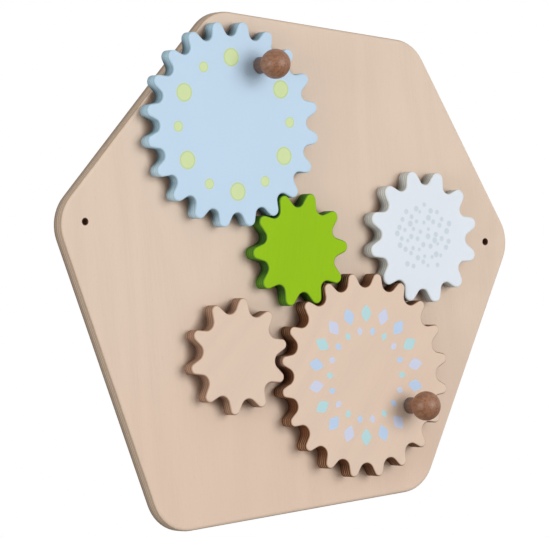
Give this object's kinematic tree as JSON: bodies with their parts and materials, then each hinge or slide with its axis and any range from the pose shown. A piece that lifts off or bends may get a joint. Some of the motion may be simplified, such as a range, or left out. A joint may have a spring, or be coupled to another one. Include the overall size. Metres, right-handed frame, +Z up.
{
  "type": "gear play panel",
  "caption": "Wall-hung six-sided plywood panel with a train of meshing toothed plywood wheels, turned by hand with round wooden knobs.",
  "frame": {"origin": "midway between the two wall screw holes, on the panel's back face, which lies against the wall", "axes": "+X to the right seen from the front, +Y into the wall, +Z up; the gears' axles lie along Y and their faces look along -Y"},
  "size_m": [0.557, 0.0803, 0.5274],
  "materials": {
    "panel_plywood": "clear matt lacquer on birch plywood",
    "natural_plywood": "clear matt lacquer on birch plywood",
    "blue_stain": "pale blue matt lacquer, painted decoration",
    "green_stain": "green translucent stain, satin",
    "white_stain": "white matt lacquer, painted dots",
    "walnut_stain": "dark brown stained hardwood, satin lacquer",
    "zinc_steel": "zinc plated",
    "brass": "turned",
    "nylon": "natural nylon"
  },
  "bodies": {
    "panel": {"panel": "panel_plywood", "blue_bush": "nylon", "blue_thrust_washer": "nylon", "green_bush": "nylon", "green_thrust_washer": "nylon", "white_bush": "nylon", "white_thrust_washer": "nylon", "large_bush": "nylon", "large_thrust_washer": "nylon", "small_bush": "nylon", "small_thrust_washer": "nylon"},
    "blue_wheel": {"blue_gear": "blue_stain", "blue_insert": "brass", "blue_axle_screw": "zinc_steel", "blue_knob_bush": "nylon", "blue_knob_washer": "nylon"},
    "green_wheel": {"green_gear": "green_stain", "green_insert": "brass", "green_axle_screw": "zinc_steel"},
    "white_wheel": {"white_gear": "white_stain", "white_insert": "brass", "white_axle_screw": "zinc_steel"},
    "large_wheel": {"large_gear": "natural_plywood", "large_insert": "brass", "large_axle_screw": "zinc_steel", "large_knob_bush": "nylon", "large_knob_washer": "nylon"},
    "small_wheel": {"small_gear": "natural_plywood", "small_insert": "brass", "small_axle_screw": "zinc_steel"},
    "blue_knob": {"blue_knob": "walnut_stain", "blue_knob_insert": "brass", "blue_knob_screw": "zinc_steel"},
    "large_knob": {"large_knob": "walnut_stain", "large_knob_insert": "brass", "large_knob_screw": "zinc_steel"}
  },
  "joints": [
    {"name": "large_turn", "type": "hinge", "parent": "panel", "child": "large_wheel", "pos_m": [0.0823, -0.018, -0.1451], "axis": [0, -1, 0], "continuous": true},
    {"name": "green_turn", "type": "hinge", "parent": "panel", "child": "green_wheel", "pos_m": [-0.00115, -0.018, -0.01854], "axis": [0, -1, 0], "continuous": true},
    {"name": "blue_turn", "type": "hinge", "parent": "panel", "child": "blue_wheel", "pos_m": [-0.08666, -0.018, 0.10495], "axis": [0, -1, 0], "continuous": true},
    {"name": "white_turn", "type": "hinge", "parent": "panel", "child": "white_wheel", "pos_m": [0.15576, -0.018, 0.00097], "axis": [0, -1, 0], "continuous": true},
    {"name": "small_turn", "type": "hinge", "parent": "panel", "child": "small_wheel", "pos_m": [-0.07392, -0.018, -0.12951], "axis": [0, -1, 0], "continuous": true},
    {"name": "blue_knob_spin", "type": "hinge", "parent": "blue_wheel", "child": "blue_knob", "pos_m": [-0.05792, -0.033, 0.16658], "axis": [0, -1, 0], "continuous": true},
    {"name": "large_knob_spin", "type": "hinge", "parent": "large_wheel", "child": "large_knob", "pos_m": [0.1386, -0.036, -0.17554], "axis": [0, -1, 0], "continuous": true}
  ],
  "couplings": [
    {"joint": "green_turn", "follows": "large_turn", "ratio": -2},
    {"joint": "blue_turn", "follows": "large_turn", "ratio": 1},
    {"joint": "white_turn", "follows": "large_turn", "ratio": -1.6667},
    {"joint": "small_turn", "follows": "large_turn", "ratio": -2}
  ]
}
